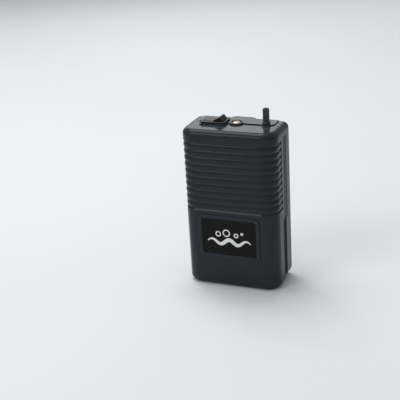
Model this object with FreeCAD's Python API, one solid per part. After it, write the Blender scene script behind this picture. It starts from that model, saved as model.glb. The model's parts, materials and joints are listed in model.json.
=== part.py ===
import FreeCAD, Part
import math
import os

# Battery air pump for an aquarium: a two-cell pocket case with a motor-driven diaphragm pump.
# Millimetres. +Z up, the front of the case faces -Y, +X is to the right seen from the front.
# Origin: centre of the bottom face of the case, at mid-depth of the case without its clip.

# ---- case ----
WIDTH = 82.0
DEPTH = 40.4
HEIGHT = 137.6
WALL = 2.2
FRONT_CORNER_R = 12.5        # front vertical corners, seen from above
REAR_CORNER_R = 1.2          # corners round the rear face
RIM_R = 5.2                  # top and bottom edges, front and sides
SPLIT_Y = 3.0                # parting plane between the front shell and the rear pieces
FRONT_Y = -DEPTH / 2
REAR_Y = DEPTH / 2
SIDE_X = WIDTH / 2
DOOR_BOTTOM = 2.2            # the battery door ends this far above the base
DOOR_TOP = 57.6
SEAM = 0.3                   # gap above the door
CHANNEL = (-4.0, 7.6, 1.3)   # side channel below the door top: from y, to y, depth
PANEL = (3.0, 10.8)          # sunk panel up each flank of the rear shell: from y, to y
PANEL_DEPTHS = (1.3, 0.2)    # its depth at the front and at the back
PANEL_TOP = 129.0
CASE_SCREW = (34.3, 76.0)    # screws through the rear face: distance from the middle, height
BOSS_Y = 12.0                # the screw bosses of the two shells meet here
LUG = (124.0, 132.6)         # lug of the front shell that takes the top screw: from z, to z
VENT_COUNT = 4
VENT_PITCH = 3.2
VENT_SLOT = (18.0, 32.0, 88.0, 1.4)   # lowest vent slot: from x, to x, from z, height

# ---- ribs ----
RIB_COUNT = 10
RIB_PITCH = 5.69
RIB_TOP_GROOVE = 126.25
RIB_DEPTH = 0.85
RIB_END_Y = -1.0
RIB_CREST = 0.04             # the crown of each rib lies this far under the plain surface
RIB_LEAD = 1.3               # height of the ramps above the first and below the last groove

# ---- label ----
LABEL_W = 47.9
LABEL_H = 31.7
LABEL_X = -0.35
LABEL_Z = 46.1
LABEL_R = 1.6
LABEL_T = 0.9
FRAME_W = 3.0
FRAME_H = 0.9

# ---- top deck ----
DECK_H = 0.8
DECK_X = 33.0
DECK_Y = 4.6
DECK_R = 4.0
DECK_Z = HEIGHT + DECK_H
INNER_TOP = HEIGHT - WALL
SWITCH_X = -17.5
SWITCH_Y = 5.0
BEZEL_W = 21.4
BEZEL_D = 15.0
BEZEL_T = 1.6
SWITCH_BODY_W = 20.0
SWITCH_BODY_D = 12.9
PIVOT_Z = HEIGHT - 0.4
ROCKER_R = 8.8
ROCKER_CROWN = 4.9           # height of the two upper corners over the pivot when level
ROCKER_HALF_D = 5.05
ROCKER_TILT = 13.5
SCREW_X = 0.8
SCREW_Y = 6.0
SCREW_HEAD_R = 3.5
WELL_R = 4.5
WELL_RIM_R = 5.8
WELL_FLOOR = DECK_Z - 1.8
NIPPLE_X = 26.3
NIPPLE_Y = 6.5
NIPPLE_R = 2.7
NIPPLE_TOP = HEIGHT + 14.1
COLLAR_R = 3.4
COLLAR_H = 2.4
SHANK_R = 2.9
STUB_R = 2.2
STUB_BOTTOM = 127.0
BORE_R = 1.4

# ---- battery bay ----
CELL_R = 17.1
CELL_X = 18.5
CELL_BOTTOM = 6.0
CELL_HEIGHT = 61.5
NUB_R = 4.75
NUB_H = 1.5
CELL_TOP = CELL_BOTTOM + CELL_HEIGHT
DIVIDER_Z = 69.6
DIVIDER_T = 1.6
CONTACT_T = 0.4
TAB_Y = 8.2                  # soldering tabs of the upper cell contacts
TAB_H = 6.0

# ---- motor and crank ----
MOTOR_Z = 87.0
MOTOR_R = 10.05
MOTOR_FLAT = 7.55
CAN_FRONT = 6.0
CAN_REAR = -16.0
CAP_REAR = -18.2
CAN_T = 0.8
ARMATURE_R = 6.4
ARMATURE_X = (-9.5, -0.5)
MAGNET_R = 6.9
SHAFT_R = 1.0
SHAFT_FIT = 0.03
CRADLE_Y = -13.0             # the cradle's ears stand on the front shell's bosses here
PUMP_X = 16.0
CRANK_R = 6.0
CRANK_X0 = 9.0
CRANK_T = 3.0
THROW = 1.3
PIN_Z = MOTOR_Z - THROW      # the crank pin rests at bottom dead centre

# ---- pump head ----
PLATE_Z = 99.9
PLATE_T = 3.0
SEAT_Z = PLATE_Z + PLATE_T
RUBBER_T = 1.0
BODY_Z = SEAT_Z + RUBBER_T
CEILING_Z = BODY_Z + 4.5
COVER_Z = CEILING_Z + 3.0
COVER_TOP = COVER_Z + 7.0
HEAD_X = 14.5
HEAD_Y = 13.0
HEAD_SCREW = (12.2, 10.8)
CLAMP_R = 5.0
CONVOLUTION_R = 9.0
VALVE_X = 5.2
PORT_TOP = COVER_TOP + 6.6

# ---- clip ----
CLIP_W = 22.0
CLIP_Z = 118.0
CLIP_Y = REAR_Y + 4.9
CLIP_T = 2.2
CLIP_NOSE_Z = 70.0
CLIP_TOP = HEIGHT - 0.7


def box(x0, x1, y0, y1, z0, z1):
    return Part.makeBox(x1 - x0, y1 - y0, z1 - z0, FreeCAD.Vector(x0, y0, z0))


def rod(radius, length, x, y, z, axis=(0, 0, 1)):
    return Part.makeCylinder(radius, length, FreeCAD.Vector(x, y, z), FreeCAD.Vector(*axis))


def tube(outer, inner, length, x, y, z, axis=(0, 0, 1)):
    return rod(outer, length, x, y, z, axis).cut(rod(inner, length, x, y, z, axis))


def joined(shapes):
    first = shapes[0]
    if len(shapes) == 1:
        return first
    return first.multiFuse(shapes[1:]).removeSplitter()


def without(shape, tools):
    return shape.cut(tools).removeSplitter()


def parallel_edges(shape, direction, chosen):
    """Straight edges along direction whose midpoint passes the chosen test."""
    found = []
    for edge in shape.Edges:
        if edge.Curve.TypeId != "Part::GeomLine" or edge.Length < 0.2:
            continue
        tangent = edge.tangentAt(edge.FirstParameter)
        if abs(tangent.dot(FreeCAD.Vector(*direction))) < 0.999:
            continue
        if chosen(edge.CenterOfMass):
            found.append(edge)
    return found


def rounded_box(x0, x1, y0, y1, z0, z1, radius, direction=(0, 0, 1)):
    """Box with the four edges along direction rounded."""
    block = box(x0, x1, y0, y1, z0, z1)
    return block.makeFillet(radius, parallel_edges(block, direction, lambda centre: True))


def ring_face(points):
    """Planar face through (x, y, z) points joined by straight lines."""
    corners = [FreeCAD.Vector(*point) for point in points]
    return Part.Face(Part.makePolygon(corners + corners[:1]))


def turned(profile, x, y):
    """Solid of revolution about the vertical line at x, y from (radius, z) points."""
    face = ring_face([(x + radius, y, z) for radius, z in profile])
    return face.revolve(FreeCAD.Vector(x, y, 0), FreeCAD.Vector(0, 0, 1), 360)


def extruded_yz(points, x0, x1):
    """Solid with a side outline of (y, z) points between two x planes."""
    return ring_face([(x0, y, z) for y, z in points]).extrude(FreeCAD.Vector(x1 - x0, 0, 0))


def pan_screw(x, y, z, head_r, head_h, shank_r, length, axis=(0, 0, 1)):
    """Slotted screw whose head stands on the point and faces along axis; the shank runs the other way."""
    head = Part.makeCylinder(head_r, head_h)
    rim = [edge for edge in head.Edges if abs(edge.CenterOfMass.z - head_h) < 0.01]
    head = head.makeFillet(head_h * 0.45, [edge for edge in rim if edge.Curve.TypeId == "Part::GeomCircle"])
    head = head.cut(box(-head_r, head_r, -head_r * 0.13, head_r * 0.13, head_h * 0.45, head_h + 1))
    tip = shank_r * 0.8
    shank = Part.makeCylinder(shank_r, length - tip, FreeCAD.Vector(0, 0, tip - length))
    point = Part.makeCone(shank_r * 0.35, shank_r, tip, FreeCAD.Vector(0, 0, -length))
    screw = joined([head, shank, point])
    turn = FreeCAD.Rotation(FreeCAD.Vector(0, 0, 1), FreeCAD.Vector(*axis))
    screw.Placement = FreeCAD.Placement(FreeCAD.Vector(x, y, z), turn)
    return screw


def tube_route(points, radius):
    """Round wire along straight runs joined by the largest tangent arcs that the runs allow."""
    corners = [FreeCAD.Vector(*point) for point in points]
    edges = []
    start = corners[0]
    for before, corner, after in zip(corners, corners[1:], corners[2:]):
        run_in = corner - before
        run_out = after - corner
        setback = 0.45 * min(run_in.Length, run_out.Length)
        enter = corner - run_in.normalize() * setback
        leave = corner + run_out.normalize() * setback
        half_turn = run_in.getAngle(run_out) / 2
        bend = setback / math.tan(half_turn)
        centre = corner + (run_out - run_in).normalize() * (bend / math.cos(half_turn))
        middle = centre + (corner - centre).normalize() * bend
        edges.append(Part.makeLine(start, enter))
        edges.append(Part.Arc(enter, middle, leave).toShape())
        start = leave
    edges.append(Part.makeLine(start, corners[-1]))
    path = Part.Wire(edges)
    section = Part.Wire(Part.makeCircle(radius, corners[0], corners[1] - corners[0]))
    return path.makePipeShell([section], True, False)


# ---- case pieces ----

def case_block(inset, bottom):
    """The outer form of the case moved inwards by inset, standing on the given bottom height."""
    block = box(inset - SIDE_X, SIDE_X - inset, FRONT_Y + inset, REAR_Y - inset, bottom, HEIGHT - inset)
    front = parallel_edges(block, (0, 0, 1), lambda centre: centre.y < 0)
    block = block.makeFillet(FRONT_CORNER_R - inset, front)
    rims = [edge for edge in block.Edges if is_rim(edge, REAR_Y - inset)]
    block = block.makeFillet(RIM_R - inset, rims)
    rear_r = max(REAR_CORNER_R - inset, 0.5)
    rear = [edge for edge in block.Edges if is_rear(edge, REAR_Y - inset)]
    return block.makeFillet(rear_r, rear)


def is_rim(edge, rear):
    """Top or bottom edge of the case block, apart from those on the rear face."""
    bounds = edge.BoundBox
    return bounds.ZLength < 0.01 and bounds.YMin < rear - 0.01


def is_rear(edge, rear):
    return edge.BoundBox.YMin > rear - 0.01


def rib_cutter():
    """Comb-shaped sweep that leaves gently crowned ribs with narrow grooves between them."""
    grooves = [RIB_TOP_GROOVE - RIB_PITCH * index for index in range(RIB_COUNT + 1)]
    x = -SIDE_X
    y = RIB_END_Y

    def at(depth, z):
        return FreeCAD.Vector(x + depth, y, z)

    clear = -1.5
    top = grooves[0] + RIB_LEAD
    foot = grooves[-1] - RIB_LEAD
    edges = [Part.makeLine(at(clear, top), at(0, top)), Part.makeLine(at(0, top), at(RIB_DEPTH, grooves[0]))]
    for upper, lower in zip(grooves, grooves[1:]):
        crest = at(RIB_CREST, (upper + lower) / 2)
        edges.append(Part.Arc(at(RIB_DEPTH, upper), crest, at(RIB_DEPTH, lower)).toShape())
    edges.append(Part.makeLine(at(RIB_DEPTH, grooves[-1]), at(0, foot)))
    edges.append(Part.makeLine(at(0, foot), at(clear, foot)))
    edges.append(Part.makeLine(at(clear, foot), at(clear, top)))
    comb = Part.Face(Part.Wire(edges))
    pieces = [comb.extrude(FreeCAD.Vector(0, FRONT_Y + FRONT_CORNER_R - y, 0))]
    corner_y = FRONT_Y + FRONT_CORNER_R
    moved = comb.translated(FreeCAD.Vector(0, corner_y - y, 0))
    axis_x = FRONT_CORNER_R - SIDE_X
    pieces.append(moved.revolve(FreeCAD.Vector(axis_x, corner_y, 0), FreeCAD.Vector(0, 0, 1), 90))
    left = joined(pieces)
    right = left.mirror(FreeCAD.Vector(0, 0, 0), FreeCAD.Vector(1, 0, 0))
    front = comb.rotated(FreeCAD.Vector(x, y, 0), FreeCAD.Vector(0, 0, 1), 90)
    front = front.translated(FreeCAD.Vector(axis_x - x, FRONT_Y - y, 0))
    return [left, right, front.extrude(FreeCAD.Vector(-2 * axis_x, 0, 0))]


def deck_footprint(z0, z1):
    """The raised top deck: a rear panel that widens forward round the switch, the screw and the nipple."""
    panel = rounded_box(-DECK_X, DECK_X, DECK_Y, REAR_Y + DECK_R, z0, z1, DECK_R)
    pad = rounded_box(SWITCH_X - 11.8, SWITCH_X + 11.8, SWITCH_Y - 8.6, REAR_Y - 4, z0, z1, 2.2)
    screw_pad = rod(WELL_RIM_R + 0.7, z1 - z0, SCREW_X, SCREW_Y, z0)
    nipple_pad = rod(COLLAR_R + 0.8, z1 - z0, NIPPLE_X, NIPPLE_Y, z0)
    return joined([panel, pad, screw_pad, nipple_pad])


def rear_deck():
    """Solid of the deck above the top face, kept inside the rounded rim of the case."""
    deck = deck_footprint(INNER_TOP, DECK_Z)
    limit = box(-DECK_X - 1, DECK_X + 1, FRONT_Y, REAR_Y - REAR_CORNER_R, INNER_TOP, DECK_Z)
    return deck.common(limit)


def case_screws_x():
    return (-CASE_SCREW[0], CASE_SCREW[0])


def channel_cutter(side):
    """Shallow channel up each flank, half in the front shell and half in the door."""
    low, high, depth = CHANNEL
    outer = side * (SIDE_X + 1)
    inner = side * (SIDE_X - depth)
    x0, x1 = sorted((outer, inner))
    cutter = box(x0, x1, low, high, -1, DOOR_TOP + SEAM)
    inside = parallel_edges(cutter, (0, 0, 1), lambda centre: abs(centre.x) < SIDE_X)
    return cutter.makeFillet(0.8, inside)


def panel_cutter(side):
    """Sunk panel up each flank of the rear shell, deepest along its front edge."""
    y0, y1 = PANEL
    front_depth, back_depth = PANEL_DEPTHS
    corners = [(SIDE_X + 1, y0), (SIDE_X - front_depth, y0), (SIDE_X - back_depth, y1), (SIDE_X + 1, y1)]
    face = ring_face([(side * x, y, DOOR_TOP) for x, y in corners])
    return face.extrude(FreeCAD.Vector(0, 0, PANEL_TOP - DOOR_TOP))


def front_shell(block, hollow):
    front = box(-SIDE_X - 1, SIDE_X + 1, FRONT_Y - 1, SPLIT_Y, -1, HEIGHT + 1)
    shell = block.cut(hollow).common(front)
    shell = shell.cut(rib_cutter() + [channel_cutter(-1), channel_cutter(1)])
    shell = shell.cut(deck_footprint(INNER_TOP - 1, DECK_Z + 1))
    additions = [label_frame()]
    for x in case_screws_x():
        z = CASE_SCREW[1]
        post = rod(3.0, BOSS_Y - (FRONT_Y + 1), x, FRONT_Y + 1, z, (0, 1, 0))
        x0, x1 = sorted((x, math.copysign(SIDE_X - 1, x)))
        foot = box(x0, x1, FRONT_Y + 6, SPLIT_Y - 1, z - 1, z + 1)
        additions.append(joined([post, foot]).common(block.cut(rib_shadow())))
        ledge = box(SIDE_X - 4.8, SIDE_X - 1.5, -8, 2, DIVIDER_Z - 2, DIVIDER_Z)
        additions.append(ledge if x > 0 else ledge.mirror(FreeCAD.Vector(0, 0, 0), FreeCAD.Vector(1, 0, 0)))
    for x, z in cradle_screw_places():
        additions.append(rod(3.0, CRADLE_Y - (FRONT_Y + 1.2), x, FRONT_Y + 1.2, z, (0, 1, 0)))
    additions.append(box(SCREW_X - 4, SCREW_X + 4, FRONT_Y + 1.2, SCREW_Y + 3.5, *LUG))
    shell = joined([shell] + additions)
    pilots = [rod(1.3, BOSS_Y, x, 0.2, CASE_SCREW[1], (0, 1, 0)) for x in case_screws_x()]
    pilots += [rod(1.1, 6, x, FRONT_Y + 2.0, z, (0, 1, 0)) for x, z in cradle_screw_places()]
    pilots.append(rod(1.5, 12, SCREW_X, SCREW_Y, LUG[0] - 1))
    pilots.append(label_recess())
    return without(shell, pilots)


def rib_shadow():
    """Skin of the case that the ribs cut into, kept clear of inner features."""
    return case_block(0, 0).cut(case_block(1.0, 1.0))


def cradle_screw_places():
    return ((-22.5, 82.0), (25.0, 95.0))


def label_frame():
    half_w = LABEL_W / 2 + FRAME_W
    half_h = LABEL_H / 2 + FRAME_W
    frame = rounded_box(LABEL_X - half_w, LABEL_X + half_w, FRONT_Y - FRAME_H, FRONT_Y + 1,
                        LABEL_Z - half_h, LABEL_Z + half_h, LABEL_R + FRAME_W, (0, 1, 0))
    edges = [edge for edge in frame.Edges if edge.BoundBox.YMax < FRONT_Y - FRAME_H + 0.01]
    return frame.makeFillet(0.6, edges)


def label_recess():
    half_w = LABEL_W / 2
    half_h = LABEL_H / 2
    return rounded_box(LABEL_X - half_w, LABEL_X + half_w, FRONT_Y - 2, FRONT_Y + LABEL_T - 0.6,
                       LABEL_Z - half_h, LABEL_Z + half_h, LABEL_R, (0, 1, 0))


def label_plate():
    half_w = LABEL_W / 2
    half_h = LABEL_H / 2
    back = FRONT_Y + LABEL_T - 0.6
    plate = rounded_box(LABEL_X - half_w, LABEL_X + half_w, back - LABEL_T, back,
                        LABEL_Z - half_h, LABEL_Z + half_h, LABEL_R, (0, 1, 0))
    rim = [edge for edge in plate.Edges if edge.BoundBox.YMax < back - LABEL_T + 0.01]
    return plate.makeChamfer(0.2, rim)


def switch_hole():
    half_w = SWITCH_BODY_W / 2
    half_d = SWITCH_BODY_D / 2
    return box(SWITCH_X - half_w, SWITCH_X + half_w, SWITCH_Y - half_d, SWITCH_Y + half_d, HEIGHT - 6, DECK_Z + 1)


def rear_shell(block, hollow):
    rear = box(-SIDE_X - 1, SIDE_X + 1, SPLIT_Y, REAR_Y + 1, DOOR_TOP + SEAM, HEIGHT + 1)
    shell = block.cut(hollow).common(rear)
    deck = rear_deck()
    boss = rod(4.2, INNER_TOP - LUG[1] + 0.5, SCREW_X, SCREW_Y, LUG[1])
    well = rod(WELL_RIM_R, 1.0, SCREW_X, SCREW_Y, DECK_Z - 0.4)
    parts = [shell, deck, boss, well]
    for x in case_screws_x():
        boss = rod(4.3, REAR_Y - 1 - BOSS_Y, x, BOSS_Y, CASE_SCREW[1], (0, 1, 0))
        parts.append(boss.common(case_block(0.5, 0)))
    shell = joined(parts)
    cuts = [switch_hole(), rod(SHANK_R, 12, NIPPLE_X, NIPPLE_Y, HEIGHT - 6)]
    cuts += [panel_cutter(-1), panel_cutter(1)]
    cuts.append(rod(WELL_R, 6, SCREW_X, SCREW_Y, WELL_FLOOR))
    cuts.append(rod(1.6, 12, SCREW_X, SCREW_Y, LUG[1] - 1))
    for x in case_screws_x():
        cuts.append(rod(3.3, 6, x, REAR_Y - 3.4, CASE_SCREW[1], (0, 1, 0)))
        cuts.append(rod(1.5, 12, x, BOSS_Y - 1, CASE_SCREW[1], (0, 1, 0)))
    x0, x1, low, slot_h = VENT_SLOT
    for index in range(VENT_COUNT):
        z = low + VENT_PITCH * index
        cuts.append(rounded_box(x0, x1, REAR_Y - 4, REAR_Y + 1, z, z + slot_h, 0.65, (0, 1, 0)))
    for z in clip_screw_heights():
        cuts.append(rod(1.2, 6, 0, REAR_Y - 4, z, (0, 1, 0)))
    return without(shell, cuts)


def battery_door():
    """Rear cover of the battery bay, with side tabs that reach into the front shell and two feet."""
    block = case_block(0, DOOR_BOTTOM)
    hollow = case_block(WALL, DOOR_BOTTOM + WALL)
    region = box(-SIDE_X - 1, SIDE_X + 1, SPLIT_Y, REAR_Y + 1, 0, DOOR_TOP)
    door = block.cut(hollow).common(region)
    door = door.cut([channel_cutter(-1), channel_cutter(1)])
    parts = [door]
    for side in (-1, 1):
        x0, x1 = sorted((side * (SIDE_X - WALL - 0.15), side * (SIDE_X - WALL - 1.6)))
        parts.append(box(x0, x1, 0.2, SPLIT_Y + 2, 10, 50))
        parts.append(box(min(x0, side * (SIDE_X - 1.8)), max(x1, side * (SIDE_X - 1.8)), SPLIT_Y, SPLIT_Y + 2, 10, 50))
        x0, x1 = sorted((side * 20, side * 30))
        parts.append(rounded_box(x0, x1, 10.5, 15.5, 0, DOOR_BOTTOM + 1, 1.6))
    for index in range(5):
        z = 44.0 + 2.2 * index
        parts.append(rod(0.6, 26, -13, REAR_Y - 0.15, z, (1, 0, 0)))
    return joined(parts)


def outlet_nipple():
    """Hose nipple with its collar on the deck, pressed into the top with a stub for the inner sleeve."""
    top = NIPPLE_TOP
    collar_top = DECK_Z + COLLAR_H
    profile = [(BORE_R, STUB_BOTTOM), (STUB_R - 0.3, STUB_BOTTOM), (STUB_R, STUB_BOTTOM + 0.6), (STUB_R, INNER_TOP),
               (SHANK_R, INNER_TOP), (SHANK_R, DECK_Z), (COLLAR_R, DECK_Z), (COLLAR_R, collar_top - 0.8),
               (COLLAR_R - 0.25, collar_top - 0.25), (NIPPLE_R, collar_top), (NIPPLE_R, top - 0.9),
               (NIPPLE_R - 0.15, top - 0.45), (NIPPLE_R - 0.5, top - 0.12), (NIPPLE_R - 0.9, top), (BORE_R, top)]
    return turned(profile, NIPPLE_X, NIPPLE_Y)


def case_screws():
    z = CASE_SCREW[1]
    screws = [pan_screw(x, REAR_Y - 3.4, z, 2.9, 1.9, 1.3, 16, (0, 1, 0)) for x in case_screws_x()]
    return Part.makeCompound(screws)


# ---- switch ----

def switch_housing():
    """Snap-in housing: bezel, side walls with bearing holes for the rocker, floor with fulcrum."""
    body_low = PIVOT_Z - 12.0
    half_w = BEZEL_W / 2
    half_d = BEZEL_D / 2
    bezel = rounded_box(SWITCH_X - half_w, SWITCH_X + half_w, SWITCH_Y - half_d, SWITCH_Y + half_d,
                        DECK_Z, DECK_Z + BEZEL_T, 1.4)
    rim = [edge for edge in bezel.Edges if edge.BoundBox.ZMin > DECK_Z + BEZEL_T - 0.01]
    bezel = bezel.makeFillet(0.7, rim)
    half_w = SWITCH_BODY_W / 2
    half_d = SWITCH_BODY_D / 2
    body = box(SWITCH_X - half_w, SWITCH_X + half_w, SWITCH_Y - half_d, SWITCH_Y + half_d, body_low, DECK_Z)
    half_w = ROCKER_R + 0.3
    half_d = ROCKER_HALF_D + 0.3
    cavity = box(SWITCH_X - half_w, SWITCH_X + half_w, SWITCH_Y - half_d, SWITCH_Y + half_d,
                 body_low + 1.4, DECK_Z + BEZEL_T + 1)
    housing = joined([bezel, body]).cut(cavity)
    bearing = rod(1.05, SWITCH_BODY_D + 2, SWITCH_X, SWITCH_Y - half_d - 2, PIVOT_Z, (0, 1, 0))
    slots = [box(x - 0.4, x + 0.4, SWITCH_Y - 2.4, SWITCH_Y + 2.4, body_low - 1, body_low + 2)
             for x in (SWITCH_X, SWITCH_X + 6.5)]
    return without(housing, [bearing] + slots)


def switch_rocker():
    """Rocker with a V top inside a round outline about the pivot, tilted with its right end up."""
    tilt = math.radians(ROCKER_TILT)
    crown = ROCKER_CROWN
    reach = math.sqrt(ROCKER_R ** 2 - crown ** 2)
    valley = crown - reach * math.tan(tilt)
    low_y = SWITCH_Y - ROCKER_HALF_D
    drum = rod(ROCKER_R, 2 * ROCKER_HALF_D, SWITCH_X, low_y, PIVOT_Z, (0, 1, 0))
    outline = [(-ROCKER_R - 1, -2.6), (ROCKER_R + 1, -2.6), (ROCKER_R + 1, crown), (reach, crown), (0, valley),
               (-reach, crown), (-ROCKER_R - 1, crown)]
    face = ring_face([(SWITCH_X + x, low_y, PIVOT_Z + z) for x, z in outline])
    rocker = face.extrude(FreeCAD.Vector(0, 2 * ROCKER_HALF_D, 0)).common(drum)
    edges = [edge for edge in rocker.Edges if edge.BoundBox.ZMin > PIVOT_Z + valley - 0.1]
    rocker = rocker.makeFillet(0.5, [edge for edge in edges if edge.BoundBox.YLength < 0.1])
    plunger = rod(1.3, 6.3, SWITCH_X, SWITCH_Y, PIVOT_Z - 8.2)
    trunnions = rod(1.0, SWITCH_BODY_D - 0.4, SWITCH_X, SWITCH_Y - SWITCH_BODY_D / 2 + 0.2, PIVOT_Z, (0, 1, 0))
    rocker = joined([rocker, plunger, trunnions])
    rocker.rotate(FreeCAD.Vector(SWITCH_X, 0, PIVOT_Z), FreeCAD.Vector(0, 1, 0), -ROCKER_TILT)
    return rocker


def contact_pivot_z():
    return PIVOT_Z - 9.0


def switch_contact_lever():
    """See-saw contact strip on the centre terminal, tilted away from the pressed side."""
    x = SWITCH_X
    z = contact_pivot_z()
    strip = box(x - 5.2, x + 7.0, SWITCH_Y - 1.9, SWITCH_Y + 1.9, z, z + 0.4)
    button = rod(1.0, 0.5, x + 6.0, SWITCH_Y, z - 0.4)
    lever = joined([strip, button])
    lever.rotate(FreeCAD.Vector(x, 0, z), FreeCAD.Vector(0, 1, 0), ROCKER_TILT / 2)
    return lever


def switch_terminals():
    """Centre terminal with its fulcrum edge, and the terminal that the contact closes on."""
    low = PIVOT_Z - 12.0
    z = contact_pivot_z()
    centre = box(SWITCH_X - 0.4, SWITCH_X + 0.4, SWITCH_Y - 2.4, SWITCH_Y + 2.4, low - 7, z - 0.35)
    x = SWITCH_X + 6.5
    side = box(x - 0.4, x + 0.4, SWITCH_Y - 2.4, SWITCH_Y + 2.4, low - 7, low + 1.6)
    pad = rod(1.2, 0.3, SWITCH_X + 6.5, SWITCH_Y, low + 1.4)
    return Part.makeCompound([centre, joined([side, pad])])


# ---- battery bay ----

def battery_divider():
    z1 = DIVIDER_Z + DIVIDER_T
    gap = WALL + 0.1
    plate = box(gap - SIDE_X, SIDE_X - gap, FRONT_Y + gap, REAR_Y - gap, DIVIDER_Z, z1)
    front = parallel_edges(plate, (0, 0, 1), lambda centre: centre.y < 0)
    plate = plate.makeFillet(FRONT_CORNER_R - gap, front)
    plate = plate.makeFillet(1.0, parallel_edges(plate, (0, 0, 1), lambda centre: centre.y > REAR_Y - 4))
    slots = [box(x - 1.7, x + 1.7, TAB_Y - 0.4, TAB_Y + 1, DIVIDER_Z - 1, z1 + 1) for x in (-CELL_X, CELL_X)]
    return without(plate, slots)


def dry_cell(x, nub_up):
    body_low = CELL_BOTTOM if nub_up else CELL_BOTTOM + NUB_H
    body_high = body_low + CELL_HEIGHT - NUB_H
    can = rod(CELL_R, CELL_HEIGHT - NUB_H, x, 0, body_low)
    rims = [edge for edge in can.Edges if edge.Curve.TypeId == "Part::GeomCircle"]
    can = can.makeFillet(0.8, rims)
    nub_z = body_high if nub_up else CELL_BOTTOM
    return joined([can, rod(NUB_R, NUB_H, x, 0, nub_z)])


def coil(x, y, z, radius, height, turns, wire, axis=(0, 0, 1)):
    """Round-wire helical spring standing on a point, as one swept solid."""
    helix = Part.makeHelix(height / turns, height, radius)
    start = FreeCAD.Vector(radius, 0, 0)
    section = Part.Wire(Part.makeCircle(wire / 2, start, FreeCAD.Vector(0, 1, 0)))
    spring = helix.makePipeShell([section], True, True)
    turn = FreeCAD.Rotation(FreeCAD.Vector(0, 0, 1), FreeCAD.Vector(*axis))
    spring.Placement = FreeCAD.Placement(FreeCAD.Vector(x, y, z), turn)
    return spring


def contact_base(x):
    plate = rounded_box(x - 7, x + 7, -7, TAB_Y + 0.5, DIVIDER_Z - CONTACT_T, DIVIDER_Z, 1.0)
    tab = box(x - 1.5, x + 1.5, TAB_Y, TAB_Y + CONTACT_T, DIVIDER_Z - CONTACT_T, DIVIDER_Z + TAB_H)
    return joined([plate, tab])


def cell_plate_contact():
    dimple = turned([(0, CELL_TOP), (2.6, CELL_TOP), (3.6, DIVIDER_Z - CONTACT_T), (0, DIVIDER_Z - CONTACT_T)],
                    -CELL_X, 0)
    return joined([contact_base(-CELL_X), dimple])


def cell_spring_contact():
    height = DIVIDER_Z - CONTACT_T - CELL_TOP
    spring = coil(CELL_X, 0, CELL_TOP + 0.45, 4.2, height - 0.9, 1.4, 0.7)
    seat = tube(4.6, 3.8, 0.5, CELL_X, 0, DIVIDER_Z - CONTACT_T - 0.5)
    foot = tube(4.6, 3.8, 0.5, CELL_X, 0, CELL_TOP)
    return joined([contact_base(CELL_X), seat, foot, spring])


def cell_bridge_contact():
    low = WALL
    plate = rounded_box(-26, 26, -9.4, SPLIT_Y - 0.4, low, low + CONTACT_T, 1.0)
    rise = CELL_BOTTOM - low - CONTACT_T
    dimple = turned([(0, low + CONTACT_T), (2.7, low + CONTACT_T), (2.2, CELL_BOTTOM), (0, CELL_BOTTOM)], CELL_X, 0)
    spring = coil(-CELL_X, 0, low + CONTACT_T + 0.3, 2.2, rise - 0.6, 2.5, 0.7)
    rings = [tube(2.6, 1.8, 0.5, -CELL_X, 0, z) for z in (low + CONTACT_T, CELL_BOTTOM - 0.5)]
    return joined([plate, dimple, spring] + rings)


# ---- motor ----

def flattened(radius, flat, x0, x1):
    """Motor section: a circle cut flat above and below, extruded along X."""
    drum = rod(radius, x1 - x0, x0, 0, MOTOR_Z, (1, 0, 0))
    return drum.common(box(x0 - 1, x1 + 1, -radius - 1, radius + 1, MOTOR_Z - flat, MOTOR_Z + flat))


def motor_can():
    outer = flattened(MOTOR_R, MOTOR_FLAT, CAN_REAR, CAN_FRONT)
    rim = [edge for edge in outer.Edges if edge.BoundBox.XMin > CAN_FRONT - 0.01]
    outer = outer.makeFillet(0.8, rim)
    inner = flattened(MOTOR_R - CAN_T, MOTOR_FLAT - CAN_T, CAN_REAR - 1, CAN_FRONT - CAN_T)
    boss = rod(3.08, 1.7, CAN_FRONT, 0, MOTOR_Z, (1, 0, 0))
    seat = rod(2.6, CAN_T + 3, CAN_FRONT - CAN_T - 0.5, 0, MOTOR_Z, (1, 0, 0))
    return without(joined([outer.cut(inner), boss]), [seat])


def motor_bearings():
    bore = SHAFT_R + SHAFT_FIT
    front = tube(2.6, bore, 2.5, CAN_FRONT - CAN_T, 0, MOTOR_Z, (1, 0, 0))
    rear = tube(2.4, bore, 1.8, CAP_REAR + 0.2, 0, MOTOR_Z, (1, 0, 0))
    return Part.makeCompound([front, rear])


def motor_end_cap():
    flange = flattened(MOTOR_R, MOTOR_FLAT, CAP_REAR, CAN_REAR)
    plug = flattened(MOTOR_R - CAN_T, MOTOR_FLAT - CAN_T, CAN_REAR, CAN_REAR + 1.2)
    seat = rod(2.4, 6, CAP_REAR + 0.2, 0, MOTOR_Z, (1, 0, 0))
    shaft_way = rod(1.4, 4, CAP_REAR - 1, 0, MOTOR_Z, (1, 0, 0))
    slots = [box(CAP_REAR - 1, CAN_REAR + 2, y - 1.3, y + 1.3, MOTOR_Z - 0.25, MOTOR_Z + 0.25) for y in (-7, 7)]
    return without(joined([flange, plug]), [seat, shaft_way] + slots)


def motor_terminals():
    tabs = [box(CAP_REAR - 3.6, CAN_REAR + 1.2, y - 1.3, y + 1.3, MOTOR_Z - 0.25, MOTOR_Z + 0.25) for y in (-7, 7)]
    return Part.makeCompound(tabs)


def motor_magnets():
    """Two arc magnets against the round sides of the can."""
    ring = tube(MOTOR_R - CAN_T, MAGNET_R, 14, -11.5, 0, MOTOR_Z, (1, 0, 0))
    band = [box(-12, 4, y0, y1, MOTOR_Z - 5.2, MOTOR_Z + 5.2) for y0, y1 in ((-10, -2), (2, 10))]
    return Part.makeCompound([ring.common(part) for part in band])


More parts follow.
